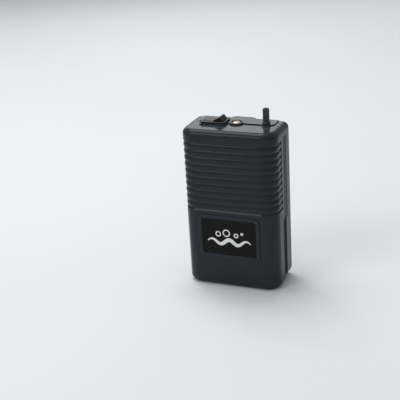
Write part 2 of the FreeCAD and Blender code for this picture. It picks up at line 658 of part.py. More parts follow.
def around_shaft(shape, index):
    copy = shape.copy()
    copy.rotate(FreeCAD.Vector(0, 0, MOTOR_Z), FreeCAD.Vector(1, 0, 0), 120 * index)
    return copy


def pole_arm():
    x0, x1 = ARMATURE_X
    return box(x0, x1, -1.2, 1.2, MOTOR_Z + 2.2, MOTOR_Z + ARMATURE_R - 0.6)


def motor_armature():
    """Three-pole lamination stack pressed on the shaft."""
    x0, x1 = ARMATURE_X
    hub = rod(2.6, x1 - x0, x0, 0, MOTOR_Z, (1, 0, 0))
    ring = tube(ARMATURE_R, ARMATURE_R - 0.9, x1 - x0, x0, 0, MOTOR_Z, (1, 0, 0))
    wedge = box(x0 - 1, x1 + 1, -4.9, 4.9, MOTOR_Z + 2, MOTOR_Z + 8)
    shoe = ring.common(wedge)
    parts = [hub]
    for index in range(3):
        parts.append(around_shaft(joined([shoe, pole_arm()]), index))
    return without(joined(parts), [rod(SHAFT_R, 12, x0 - 1, 0, MOTOR_Z, (1, 0, 0))])


def motor_windings():
    """One coil round each pole arm."""
    x0, x1 = ARMATURE_X
    coil_block = rounded_box(x0 - 1.2, x1 + 1.2, -2.1, 2.1, MOTOR_Z + 3.3, MOTOR_Z + 4.9, 0.9).cut(pole_arm())
    return Part.makeCompound([around_shaft(coil_block, index) for index in range(3)])


def motor_commutator():
    drum = tube(2.3, SHAFT_R, 3.4, -14.3, 0, MOTOR_Z, (1, 0, 0))
    gap = box(-15, -10.5, -0.15, 0.15, MOTOR_Z + 1.9, MOTOR_Z + 3)
    return without(drum, [around_shaft(gap, index) for index in range(3)])


def motor_brushes():
    """Leaf brushes from the end cap, one above and one below the commutator."""
    leaves = []
    for side in (-1, 1):
        z = MOTOR_Z + side * 2.65
        leaf = box(CAN_REAR + 1.2, -11.2, -1.2, 1.2, z - 0.15, z + 0.15)
        foot = box(CAN_REAR + 1.2, CAN_REAR + 1.5, -1.2, 1.2, min(z, z + side * 2), max(z, z + side * 2))
        leaves.append(joined([leaf, foot]))
    return Part.makeCompound(leaves)


def motor_shaft():
    return rod(SHAFT_R, CRANK_X0 + CRANK_T - 0.4 - (CAP_REAR + 0.6), CAP_REAR + 0.6, 0, MOTOR_Z, (1, 0, 0))


def motor_cradle():
    """One bracket that holds the motor below and carries the pump head above."""
    floor_z = MOTOR_Z - MOTOR_FLAT
    floor = box(-17, 8, -12.2, 12.2, floor_z - 2.2, floor_z)
    walls = [box(-13, 3, *sorted((side * 10.15, side * 12.2)), floor_z - 2.2, MOTOR_Z + 4.6) for side in (-1, 1)]
    hooks = []
    for side in (-1, 1):
        y0, y1 = sorted((side * 9.3, side * 12.2))
        hooks.append(box(-8, -2, y0, y1, MOTOR_Z + 5.2, MOTOR_Z + 6.8))
        y0, y1 = sorted((side * 10.4, side * 12.2))
        hooks.append(box(-8, -2, y0, y1, MOTOR_Z + 4.0, MOTOR_Z + 6.8))
    front = box(CAN_FRONT, 8, -11, 11, floor_z - 2.2, PLATE_Z + 1)
    front = front.cut(rod(3.1, 4, CAN_FRONT - 1, 0, MOTOR_Z, (1, 0, 0)))
    plate = rounded_box(PUMP_X - HEAD_X, PUMP_X + HEAD_X, -HEAD_Y, HEAD_Y, PLATE_Z, SEAT_Z, 2.0)
    ribs = [extruded_yz([(side * 11.0, floor_z), (side * 11.0, PLATE_Z + 1), (side * 9.4, PLATE_Z + 1),
                         (side * 9.4, floor_z)], 8, 8.8) for side in (-1, 1)]
    left, right = cradle_screw_places()
    ear_back = CRADLE_Y + 2.6
    ears = [box(left[0] - 4, -12, CRADLE_Y, ear_back, left[1] - 4, left[1] + 4),
            box(-17, -12, -12.2, ear_back, floor_z - 2.2, left[1] + 4),
            box(right[0] - 4, right[0] + 4, CRADLE_Y, ear_back, right[1] - 4, SEAT_Z)]
    cradle = joined([floor, front, plate] + walls + hooks + ribs + ears)
    cuts = [rod(CONVOLUTION_R + 0.2, PLATE_T + 2, PUMP_X, 0, PLATE_Z - 1)]
    cuts += [rod(1.1, 20, x, y, PLATE_Z - 8) for x, y in head_screw_places()]
    cuts += [rod(1.3, 4, x, CRADLE_Y - 0.5, z, (0, 1, 0)) for x, z in cradle_screw_places()]
    return without(cradle, cuts)


def cradle_screws():
    return Part.makeCompound([pan_screw(x, CRADLE_Y + 2.6, z, 2.4, 1.6, 1.1, 6.6, (0, 1, 0))
                              for x, z in cradle_screw_places()])


# ---- crank and pump ----

def crank_disc():
    disc = rod(CRANK_R, CRANK_T, CRANK_X0, 0, MOTOR_Z, (1, 0, 0))
    rims = [edge for edge in disc.Edges if edge.Curve.TypeId == "Part::GeomCircle"]
    disc = disc.makeFillet(0.4, rims)
    boss = rod(2.6, 1.0, CRANK_X0 - 1.0, 0, MOTOR_Z, (1, 0, 0))
    light = [rod(1.1, CRANK_T + 2, CRANK_X0 - 1, y, MOTOR_Z + 3.2, (1, 0, 0)) for y in (-2.6, 2.6)]
    pin_hole = rod(0.9, 1.6, CRANK_X0 + CRANK_T - 1.6, 0, PIN_Z, (1, 0, 0))
    shaft_hole = rod(SHAFT_R, CRANK_T + 1 - 0.4, CRANK_X0 - 1, 0, MOTOR_Z, (1, 0, 0))
    return without(joined([disc, boss]), light + [shaft_hole]).cut(pin_hole)


def crank_pin():
    """Eccentric pin with a retaining head at its free end."""
    x = CRANK_X0 + CRANK_T
    stem = rod(0.9, 6.4, x - 0.4, 0, PIN_Z, (1, 0, 0))
    head = rod(1.7, 0.7, x + 6.0, 0, PIN_Z, (1, 0, 0))
    return joined([stem, head])


def connecting_rod():
    """Big end on the crank pin, stem, and the foot disc that lifts the diaphragm."""
    foot_z = SEAT_Z - THROW
    eye = rod(2.9, 4.0, PUMP_X - 2, 0, PIN_Z, (1, 0, 0))
    stem = box(PUMP_X - 1.8, PUMP_X + 1.8, -1.3, 1.3, PIN_Z + 1.5, foot_z - 1.0)
    foot = rod(CLAMP_R, 1.6, PUMP_X, 0, foot_z - 1.6)
    cone = Part.makeCone(1.9, 3.6, 2.0, FreeCAD.Vector(PUMP_X, 0, foot_z - 3.6))
    conrod = joined([eye, stem, foot, cone])
    cuts = [rod(0.94, 6, PUMP_X - 3, 0, PIN_Z, (1, 0, 0)), rod(0.9, 9, PUMP_X, 0, foot_z - 7)]
    return without(conrod, cuts)


def diaphragm():
    """Rubber disc with one rolled convolution between its clamped centre and rim."""
    low = SEAT_Z - THROW
    points = []
    roll = CONVOLUTION_R - CLAMP_R - 0.4
    for step in range(9):
        part = step / 8
        radius = CLAMP_R + 0.2 + roll * part
        points.append((radius, low + THROW * part - 1.1 * math.sin(math.pi * part)))
    under = [(0.9, low)] + points + [(12.6, SEAT_Z)]
    over = [(radius, z + RUBBER_T) for radius, z in reversed(under)]
    return turned(under + over, PUMP_X, 0)


def diaphragm_clamp():
    low = SEAT_Z - THROW + RUBBER_T
    return turned([(0.9, low), (CLAMP_R - 0.3, low), (CLAMP_R - 0.3, low + 0.6), (CLAMP_R - 0.8, low + 1.0),
                   (0.9, low + 1.0)], PUMP_X, 0)


def diaphragm_screw():
    return pan_screw(PUMP_X, 0, SEAT_Z - THROW + RUBBER_T + 1.0, 1.9, 1.1, 0.9, 8.0)


def head_screw_places():
    dx, dy = HEAD_SCREW
    return [(PUMP_X + sx * dx, sy * dy) for sx in (-1, 1) for sy in (-1, 1)]


def valve_body():
    """Plate with the pump chamber below and the two valve ports through its ceiling."""
    block = rounded_box(PUMP_X - HEAD_X, PUMP_X + HEAD_X, -HEAD_Y, HEAD_Y, BODY_Z, COVER_Z, 2.0)
    cuts = [rod(CONVOLUTION_R, CEILING_Z - BODY_Z + 1, PUMP_X, 0, BODY_Z - 1)]
    cuts += [rod(1.3, 9, PUMP_X + side * VALVE_X, 0, CEILING_Z - 2) for side in (-1, 1)]
    cuts += [rod(1.1, 12, x, y, BODY_Z - 2) for x, y in head_screw_places()]
    return without(block, cuts)


def flap(x, z):
    """Thin rubber flap with its hinge edge towards the pump axis."""
    return rounded_box(x - 2.3, x + 2.3, -2.2, 2.2, z, z + 0.5, 0.8)


def inlet_flap():
    return flap(PUMP_X - VALVE_X, CEILING_Z - 0.55)


def outlet_flap():
    return flap(PUMP_X + VALVE_X, COVER_Z + 0.05)


def pump_cover():
    """Cover with an inlet chamber, an outlet chamber and the outlet port."""
    block = rounded_box(PUMP_X - HEAD_X, PUMP_X + HEAD_X, -HEAD_Y, HEAD_Y, COVER_Z, COVER_TOP, 2.0)
    port = rod(STUB_R, PORT_TOP - COVER_TOP + 1, NIPPLE_X, NIPPLE_Y, COVER_TOP - 1)
    inlet = rounded_box(PUMP_X - 10.5, PUMP_X - 1, -6, 6, COVER_Z - 1, COVER_TOP - 2, 1.5)
    outlet = rounded_box(PUMP_X + 1, PUMP_X + 12, -4, 8, COVER_Z - 1, COVER_TOP - 2, 1.5)
    cuts = [inlet, outlet, rod(BORE_R, 14, NIPPLE_X, NIPPLE_Y, COVER_TOP - 4)]
    cuts += [rod(3.0, 6, PUMP_X - VALVE_X, 0, COVER_TOP - 1.2), rod(1.8, 6, PUMP_X - VALVE_X, 0, COVER_TOP - 4)]
    cuts += [rod(1.1, 12, x, y, COVER_Z - 2) for x, y in head_screw_places()]
    return without(joined([block, port]), cuts)


def inlet_filter():
    return rod(3.0, 1.2, PUMP_X - VALVE_X, 0, COVER_TOP - 1.2)


def pump_screws():
    length = COVER_TOP - PLATE_Z - 0.6
    return Part.makeCompound([pan_screw(x, y, COVER_TOP, 2.0, 1.4, 1.1, length) for x, y in head_screw_places()])


def outlet_sleeve():
    """Rubber sleeve from the pump port to the stub under the nipple."""
    return tube(3.4, STUB_R, 11.4, NIPPLE_X, NIPPLE_Y, COVER_TOP + 1.8)


# ---- clip ----

def clip_screw_heights():
    return (111.8, 124.2)


def clip_bracket():
    """Base plate on the rear face with two ears for the pin."""
    base = rounded_box(-10.9, 10.9, REAR_Y, REAR_Y + 1.5, 108, 128, 1.5, (0, 1, 0))
    parts = [base]
    for side in (-1, 1):
        x0, x1 = sorted((side * 9.1, side * 10.9))
        ear = extruded_yz([(REAR_Y, CLIP_Z - 6), (REAR_Y, CLIP_Z + 6), (CLIP_Y, CLIP_Z + 3), (CLIP_Y, CLIP_Z - 3)],
                          x0, x1)
        parts += [ear, rod(3.0, 1.8, x0, CLIP_Y, CLIP_Z, (1, 0, 0))]
    cuts = [rod(1.0, 24, -12, CLIP_Y, CLIP_Z, (1, 0, 0))]
    for z in clip_screw_heights():
        cuts += [rod(1.3, 4, 0, REAR_Y - 1, z, (0, 1, 0)), rod(2.3, 2, 0, REAR_Y + 0.6, z, (0, 1, 0))]
    return without(joined(parts), cuts)


def clip_screws():
    return Part.makeCompound([pan_screw(0, REAR_Y + 0.6, z, 2.2, 0.9, 1.2, 4.0, (0, 1, 0))
                              for z in clip_screw_heights()])


def clip_pin():
    return rod(1.0, 21.8, -10.9, CLIP_Y, CLIP_Z, (1, 0, 0))


def clip_lever():
    """Sprung clip: thumb tab above the pin, long blade below it with a nose that grips the rim."""
    inner = CLIP_Y - CLIP_T / 2
    outer = CLIP_Y + CLIP_T / 2
    nose = REAR_Y + 0.5
    blade = extruded_yz([(inner, CLIP_Z + 10), (inner, CLIP_Z - 14), (nose + 0.9, CLIP_NOSE_Z + 4),
                         (nose, CLIP_NOSE_Z + 1), (nose, CLIP_NOSE_Z - 0.5), (nose + 2.6, CLIP_NOSE_Z - 6),
                         (nose + 4.4, CLIP_NOSE_Z - 5), (nose + 2.6, CLIP_NOSE_Z + 2), (outer, CLIP_Z - 16),
                         (outer, CLIP_Z + 10)], -8.8, 8.8)
    tab = rounded_box(-CLIP_W / 2, CLIP_W / 2, inner - 0.3, outer, CLIP_Z + 9, CLIP_TOP, 2.0, (0, 1, 0))
    ridges = [rod(0.5, 16, -8, outer, CLIP_Z + 12 + 2.2 * index, (1, 0, 0)) for index in range(4)]
    barrels = [rod(2.3, 4.4, x, CLIP_Y, CLIP_Z, (1, 0, 0)) for x in (-8.8, 4.4)]
    lever = joined([blade, tab] + ridges + barrels)
    window = box(-4.2, 4.2, inner - 1, outer + 1, CLIP_Z - 4, CLIP_Z + 4)
    return without(lever, [window, rod(1.04, 24, -12, CLIP_Y, CLIP_Z, (1, 0, 0))])


def clip_spring():
    """Torsion spring round the pin: one leg up against the tab, one down against the base plate."""
    wire = 0.8
    radius = CLIP_Y - REAR_Y - 1.5 - wire / 2
    turns = coil(-3.0, CLIP_Y, CLIP_Z, radius, 6.0, 5, wire, (1, 0, 0))
    turns.rotate(FreeCAD.Vector(0, CLIP_Y, CLIP_Z), FreeCAD.Vector(1, 0, 0), -90)
    low_y = CLIP_Y - radius
    leg_up = Part.makeCylinder(wire / 2, 8.2, FreeCAD.Vector(-3.0, low_y, CLIP_Z), FreeCAD.Vector(0, 0.14, 1))
    leg_down = rod(wire / 2, 6.5, 3.0, low_y, CLIP_Z - 6.5)
    knees = [Part.makeSphere(wire / 2 + 0.02, FreeCAD.Vector(x, low_y, CLIP_Z)) for x in (-3.0, 3.0)]
    return joined([turns, leg_up, leg_down] + knees)


# ---- wires ----

def wires():
    """Three leads: cell to switch, switch to motor, motor to cell. Each ends face to face on its tab."""
    tab_top = DIVIDER_Z + TAB_H
    tab_y = TAB_Y + CONTACT_T / 2
    blade_end = PIVOT_Z - 19.0
    motor_end = CAP_REAR - 3.6
    routes = {
        "wire_cell_to_switch": [(-CELL_X, tab_y, tab_top), (-CELL_X, tab_y, 79), (-24.5, 7, 80.5), (-31, 7.5, 84),
                                (-32, 9, 92), (-31, 8, 100), (-25, 6, 107), (SWITCH_X, SWITCH_Y, 111),
                                (SWITCH_X, SWITCH_Y, blade_end)],
        "wire_switch_to_motor": [(SWITCH_X + 6.5, SWITCH_Y, blade_end), (SWITCH_X + 6.5, SWITCH_Y, 111),
                                 (-14, 1, 105), (-22, -2, 101), (-28, -6, 95), (-28, -7, MOTOR_Z),
                                 (motor_end, -7, MOTOR_Z)],
        "wire_motor_to_cell": [(motor_end, 7, MOTOR_Z), (-25.5, 7, MOTOR_Z), (-27, 12.5, 82.5), (-20, 15, 77),
                               (-8, 15.4, 75), (4, 15.2, 75), (13.5, 13, 79), (CELL_X, tab_y, 80.5),
                               (CELL_X, tab_y, tab_top)],
    }
    return {name: tube_route(points, 0.7) for name, points in routes.items()}


def write(name, shape):
    shape.exportStep("parts/" + name + ".step")


def main():
    os.makedirs("parts", exist_ok=True)
    block = case_block(0, 0)
    hollow = case_block(WALL, WALL)
    nodes = {
        "front_shell": front_shell(block, hollow),
        "rear_shell": rear_shell(block, hollow),
        "battery_door": battery_door(),
        "label_plate": label_plate(),
        "outlet_nipple": outlet_nipple(),
        "top_screw": pan_screw(SCREW_X, SCREW_Y, WELL_FLOOR, SCREW_HEAD_R, 2.2, 1.5, 12),
        "case_screws": case_screws(),
        "switch_housing": switch_housing(),
        "switch_rocker": switch_rocker(),
        "switch_contact_lever": switch_contact_lever(),
        "switch_terminals": switch_terminals(),
        "battery_divider": battery_divider(),
        "dry_cell_left": dry_cell(-CELL_X, True),
        "dry_cell_right": dry_cell(CELL_X, False),
        "cell_plate_contact": cell_plate_contact(),
        "cell_spring_contact": cell_spring_contact(),
        "cell_bridge_contact": cell_bridge_contact(),
        "motor_can": motor_can(),
        "motor_bearings": motor_bearings(),
        "motor_end_cap": motor_end_cap(),
        "motor_terminals": motor_terminals(),
        "motor_magnets": motor_magnets(),
        "motor_armature": motor_armature(),
        "motor_windings": motor_windings(),
        "motor_commutator": motor_commutator(),
        "motor_brushes": motor_brushes(),
        "motor_shaft": motor_shaft(),
        "motor_cradle": motor_cradle(),
        "cradle_screws": cradle_screws(),
        "crank_disc": crank_disc(),
        "crank_pin": crank_pin(),
        "connecting_rod": connecting_rod(),
        "diaphragm": diaphragm(),
        "diaphragm_clamp": diaphragm_clamp(),
        "diaphragm_screw": diaphragm_screw(),
        "valve_body": valve_body(),
        "inlet_flap": inlet_flap(),
        "outlet_flap": outlet_flap(),
        "pump_cover": pump_cover(),
        "pump_screws": pump_screws(),
        "inlet_filter": inlet_filter(),
        "outlet_sleeve": outlet_sleeve(),
        "clip_bracket": clip_bracket(),
        "clip_screws": clip_screws(),
        "clip_pin": clip_pin(),
        "clip_lever": clip_lever(),
        "clip_spring": clip_spring(),
    }
    nodes.update(wires())
    for name, shape in nodes.items():
        write(name, shape)
        print(name, "valid" if shape.isValid() else "NOT VALID", len(shape.Solids), round(shape.Volume, 1))


main()
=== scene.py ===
import json
import math

import bmesh
import bpy
from mathutils import Matrix, Vector


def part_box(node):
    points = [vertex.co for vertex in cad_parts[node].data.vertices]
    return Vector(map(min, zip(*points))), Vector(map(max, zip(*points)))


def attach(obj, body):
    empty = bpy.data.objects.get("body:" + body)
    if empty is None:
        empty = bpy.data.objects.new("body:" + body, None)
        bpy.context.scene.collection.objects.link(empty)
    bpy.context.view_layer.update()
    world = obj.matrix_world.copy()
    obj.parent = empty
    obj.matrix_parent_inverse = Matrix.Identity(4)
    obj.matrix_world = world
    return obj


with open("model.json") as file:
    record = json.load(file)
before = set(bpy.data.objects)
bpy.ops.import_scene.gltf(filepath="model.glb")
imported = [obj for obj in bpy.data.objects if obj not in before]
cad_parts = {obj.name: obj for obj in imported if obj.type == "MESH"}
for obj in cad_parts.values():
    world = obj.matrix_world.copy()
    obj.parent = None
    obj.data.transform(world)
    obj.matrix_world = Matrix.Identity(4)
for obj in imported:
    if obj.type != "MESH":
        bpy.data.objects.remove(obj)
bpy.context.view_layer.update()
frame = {"nodes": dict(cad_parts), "record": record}


# ---- camera ----

AZIMUTH = 23.6           # degrees round the pump from straight in front
ELEVATION = 21.645
ROLL = -3.538
DISTANCE = 0.7862        # from the middle of the case
PAN = (0.03102, -0.00274)
LENS = 83.97
SENSOR = 36.0
MIDDLE = Vector((0, 0, 0.069))   # the height the lens is levelled at


def make_camera():
    turn = math.radians(AZIMUTH)
    lift = math.radians(ELEVATION)
    roll = math.radians(ROLL)
    back = Vector((math.sin(turn) * math.cos(lift), -math.cos(turn) * math.cos(lift), math.sin(lift)))
    right = Vector((math.cos(turn), math.sin(turn), 0))
    up = back.cross(right)
    right_rolled = right * math.cos(roll) + up * math.sin(roll)
    up_rolled = up * math.cos(roll) - right * math.sin(roll)
    place = MIDDLE - right_rolled * PAN[0] - up_rolled * PAN[1] + back * DISTANCE
    data = bpy.data.cameras.new("camera")
    data.lens = LENS
    data.sensor_width = SENSOR
    data.clip_start = 0.01
    camera = bpy.data.objects.new("camera", data)
    axes = Matrix((right_rolled, up_rolled, back)).transposed()
    camera.matrix_world = Matrix.Translation(place) @ axes.to_4x4()
    bpy.context.collection.objects.link(camera)
    bpy.context.scene.camera = camera


# ---- light and floor ----

WORLD_COLOUR = (0.95, 0.97, 1.0, 1)
WORLD_LIGHT = 0.36
FLOOR_SIZE = 6
LIGHTS = (               # name, place, size and watts, each aimed at the middle of the case
    ("overhead", (-0.42, 0.22, 1.50), (0.9, 0.8), 11.5),
    ("behind", (-0.55, 1.25, 0.62), (1.1, 0.45), 2.0),
    ("front", (-0.9, -1.3, 1.3), (0.8, 0.8), 8),
    ("spark_right", (0.03, 0.27, 1.48), (0.10, 0.10), 1.0),
    ("spark_left", (-0.68, 0.58, 1.20), (0.10, 0.10), 1.0),
)


def area_light(name, place, size, watts):
    data = bpy.data.lights.new(name, "AREA")
    data.shape = "RECTANGLE"
    data.size, data.size_y = size
    data.energy = watts
    light = bpy.data.objects.new(name, data)
    light.location = place
    light.rotation_euler = (MIDDLE - Vector(place)).to_track_quat("-Z", "Y").to_euler()
    bpy.context.collection.objects.link(light)


def make_lights():
    """Soft boxes over, behind and in front of the pump, and two smaller ones that edge its rounded top."""
    world = bpy.data.worlds.new("studio")
    world.use_nodes = True
    background = world.node_tree.nodes["Background"]
    background.inputs["Color"].default_value = WORLD_COLOUR
    background.inputs["Strength"].default_value = WORLD_LIGHT
    bpy.context.scene.world = world
    bpy.context.scene.view_settings.view_transform = "Standard"
    for light in LIGHTS:
        area_light(*light)


def make_floor():
    bpy.ops.mesh.primitive_plane_add(size=FLOOR_SIZE, location=(0, 0, 0))
    floor = bpy.context.object
    floor.name = "floor"
    floor.data.materials.append(floor_paint())


# ---- material kit ----

class Paint:
    """A node material with helpers for the few node kinds that every finish here uses."""

    def __init__(self, name):
        self.material = bpy.data.materials.new(name)
        self.material.use_nodes = True
        self.tree = self.material.node_tree
        self.shader = self.tree.nodes["Principled BSDF"]
        coords = self.tree.nodes.new("ShaderNodeTexCoord")
        self.place = coords.outputs["Object"]

    def node(self, kind, links=(), **settings):
        made = self.tree.nodes.new(kind)
        for key, value in settings.items():
            setattr(made, key, value)
        for socket, source in dict(links).items():
            if isinstance(source, bpy.types.NodeSocket):
                self.tree.links.new(source, made.inputs[socket])
            else:
                made.inputs[socket].default_value = source
        return made

    def stretched(self, scale):
        return self.node("ShaderNodeMapping", {"Vector": self.place, "Scale": scale}).outputs["Vector"]

    def noise(self, scale, detail=3.0, rough=0.5, vector=None):
        links = {"Vector": vector or self.place, "Scale": scale, "Detail": detail, "Roughness": rough}
        return self.node("ShaderNodeTexNoise", links).outputs["Fac"]

    def spots(self, scale, vector=None):
        links = {"Vector": vector or self.place, "Scale": scale}
        return self.node("ShaderNodeTexVoronoi", links).outputs["Distance"]

    def ramp(self, value, stops):
        made = self.node("ShaderNodeValToRGB", {"Fac": value})
        elements = made.color_ramp.elements
        while len(elements) < len(stops):
            elements.new(0.5)
        for element, (position, colour) in zip(elements, stops):
            element.position = position
            element.color = colour if len(colour) == 4 else (*colour, 1)
        return made.outputs["Color"]

    def spread(self, value, low, high, start=0.0, end=1.0):
        links = {"Value": value, "From Min": start, "From Max": end, "To Min": low, "To Max": high}
        return self.node("ShaderNodeMapRange", links).outputs["Result"]

    def mix(self, factor, first, second):
        made = self.node("ShaderNodeMix", data_type="RGBA")
        for index, source in ((0, factor), (6, first), (7, second)):
            if isinstance(source, bpy.types.NodeSocket):
                self.tree.links.new(source, made.inputs[index])
            else:
                made.inputs[index].default_value = source if index == 0 else (*source, 1)
        return made.outputs[2]

    def math(self, operation, first, second=0.5):
        made = self.node("ShaderNodeMath", operation=operation)
        for index, source in ((0, first), (1, second)):
            if isinstance(source, bpy.types.NodeSocket):
                self.tree.links.new(source, made.inputs[index])
            else:
                made.inputs[index].default_value = source
        return made.outputs[0]

    def worn_edges(self, low=0.52, high=0.6):
        """One on sharp convex edges, zero elsewhere."""
        geometry = self.node("ShaderNodeNewGeometry")
        return self.spread(geometry.outputs["Pointiness"], 0.0, 1.0, low, high)

    def bump(self, height, strength, distance):
        links = {"Height": height, "Strength": strength, "Distance": distance}
        normal = self.node("ShaderNodeBump", links).outputs["Normal"]
        self.tree.links.new(normal, self.shader.inputs["Normal"])

    def set(self, **values):
        for key, value in values.items():
            socket = self.shader.inputs[key.replace("_", " ")]
            if isinstance(value, bpy.types.NodeSocket):
                self.tree.links.new(value, socket)
            else:
                colour = isinstance(value, tuple) and len(value) == 3
                socket.default_value = (*value, 1) if colour else value
        return self.material


def floor_paint():
    paint = Paint("floor_paper")
    grain = paint.noise(900, 4)
    cloud = paint.noise(3, 2)
    tint = paint.mix(cloud, (0.78, 0.80, 0.83), (0.84, 0.86, 0.89))
    paint.bump(grain, 0.05, 0.0002)
    return paint.set(Base_Color=tint, Roughness=paint.spread(grain, 0.75, 0.9))


def moulded_plastic(name, dark, light, rough=(0.12, 0.15), grain=0.05, specular=0.5):
    """Injection-moulded ABS: faint flow mottling, fine grain, gloss varying in patches, handled edges
    slightly paler.
    """
    paint = Paint(name)
    flow = paint.noise(38, 5, 0.6, paint.stretched((1.0, 1.0, 0.35)))
    fine = paint.noise(2600, 2, 0.6)
    scuffs = paint.noise(300, 6, 0.7, paint.stretched((0.8, 0.8, 1.2)))
    body = paint.mix(paint.spread(flow, 0.3, 0.7, 0.2, 0.8), dark, light)
    edge = paint.worn_edges()
    pale = tuple(min(1.0, part * 1.9 + 0.01) for part in light)
    tint = paint.mix(paint.math("MULTIPLY", edge, paint.spread(scuffs, 0.15, 0.8, 0.35, 0.65)), body, pale)
    gloss = paint.math("ADD", paint.spread(flow, rough[0], rough[1], 0.2, 0.8),
                       paint.spread(scuffs, -0.01, 0.02, 0.3, 0.8))
    paint.bump(paint.math("ADD", fine, paint.math("MULTIPLY", flow, 0.15)), grain, 0.00004)
    return paint.set(Base_Color=tint, Roughness=gloss, Specular_IOR_Level=specular)


def gloss_label():
    """Screen-printed gloss label with a deep black face and very faint orange peel."""
    paint = Paint("label_gloss_black")
    peel = paint.noise(420, 3)
    dust = paint.ramp(paint.spots(1400), [(0.0, (0.020, 0.019, 0.016)), (0.07, (0.006, 0.006, 0.005))])
    smudge = paint.noise(46, 4, 0.65)
    tint = paint.mix(paint.spread(smudge, 0.0, 0.5, 0.45, 0.75), dust, (0.009, 0.009, 0.008))
    paint.bump(peel, 0.05, 0.00005)
    gloss = paint.spread(smudge, 0.12, 0.26, 0.3, 0.7)
    return paint.set(Base_Color=tint, Roughness=gloss, Specular_IOR_Level=0.12)


def printed_white():
    paint = Paint("print_white")
    ink = paint.noise(700, 4, 0.6)
    tint = paint.mix(paint.spread(ink, 0.0, 1.0, 0.3, 0.7), (0.80, 0.80, 0.79), (0.90, 0.90, 0.89))
    paint.bump(ink, 0.08, 0.00003)
    return paint.set(Base_Color=tint, Roughness=paint.spread(ink, 0.35, 0.5))


def metal(name, tint_a, tint_b, rough=(0.2, 0.4), scratch=(1.0, 1.0, 1.0), tarnish=None, metallic=1.0):
    """Plated or bare metal: drawn or turned scratches, slight tarnish in patches."""
    paint = Paint(name)
    lines = paint.noise(1500, 4, 0.6, paint.stretched(scratch))
    patch = paint.noise(260, 4, 0.6)
    tint = paint.mix(paint.spread(lines, 0.0, 1.0, 0.3, 0.7), tint_a, tint_b)
    if tarnish:
        tint = paint.mix(paint.spread(patch, 0.0, 0.7, 0.52, 0.72), tint, tarnish)
    rougher = paint.math("ADD", paint.spread(lines, rough[0], rough[1], 0.3, 0.7),
                         paint.spread(patch, 0.0, 0.08))
    paint.bump(lines, 0.12, 0.00004)
    return paint.set(Base_Color=tint, Roughness=rougher, Metallic=metallic)


def rubber(name, tint):
    paint = Paint(name)
    bloom = paint.noise(120, 5, 0.6)
    grain = paint.noise(3000, 2)
    paler = tuple(part * 2.2 for part in tint)
    paint.bump(grain, 0.15, 0.00005)
    return paint.set(Base_Color=paint.mix(paint.spread(bloom, 0.0, 0.6, 0.4, 0.8), tint, paler),
                     Roughness=paint.spread(bloom, 0.55, 0.75))


def felt():
    paint = Paint("filter_felt")
    fibre = paint.noise(1800, 6, 0.8, paint.stretched((1.0, 0.3, 1.0)))
    paint.bump(fibre, 0.6, 0.0002)
    return paint.set(Base_Color=paint.mix(fibre, (0.50, 0.48, 0.43), (0.72, 0.70, 0.65)),
                     Roughness=paint.spread(fibre, 0.85, 1.0), Sheen_Weight=0.4)


def cell_sleeve():
    """Battery sleeve in generic colours: dark body, with a broad brassy band towards the positive end."""
    paint = Paint("cell_sleeve")
    height = paint.node("ShaderNodeSeparateXYZ", {"Vector": paint.place}).outputs["Z"]
    band = paint.spread(height, 0.0, 1.0, 0.0485, 0.0490)
    fleck = paint.noise(1600, 3)
    blue = paint.mix(paint.spread(fleck, 0.0, 1.0, 0.35, 0.65), (0.020, 0.045, 0.13), (0.028, 0.060, 0.17))
    tint = paint.mix(band, blue, (0.48, 0.31, 0.12))
    paint.bump(fleck, 0.05, 0.00003)
    return paint.set(Base_Color=tint, Roughness=paint.spread(fleck, 0.22, 0.34), Metallic=0.35)


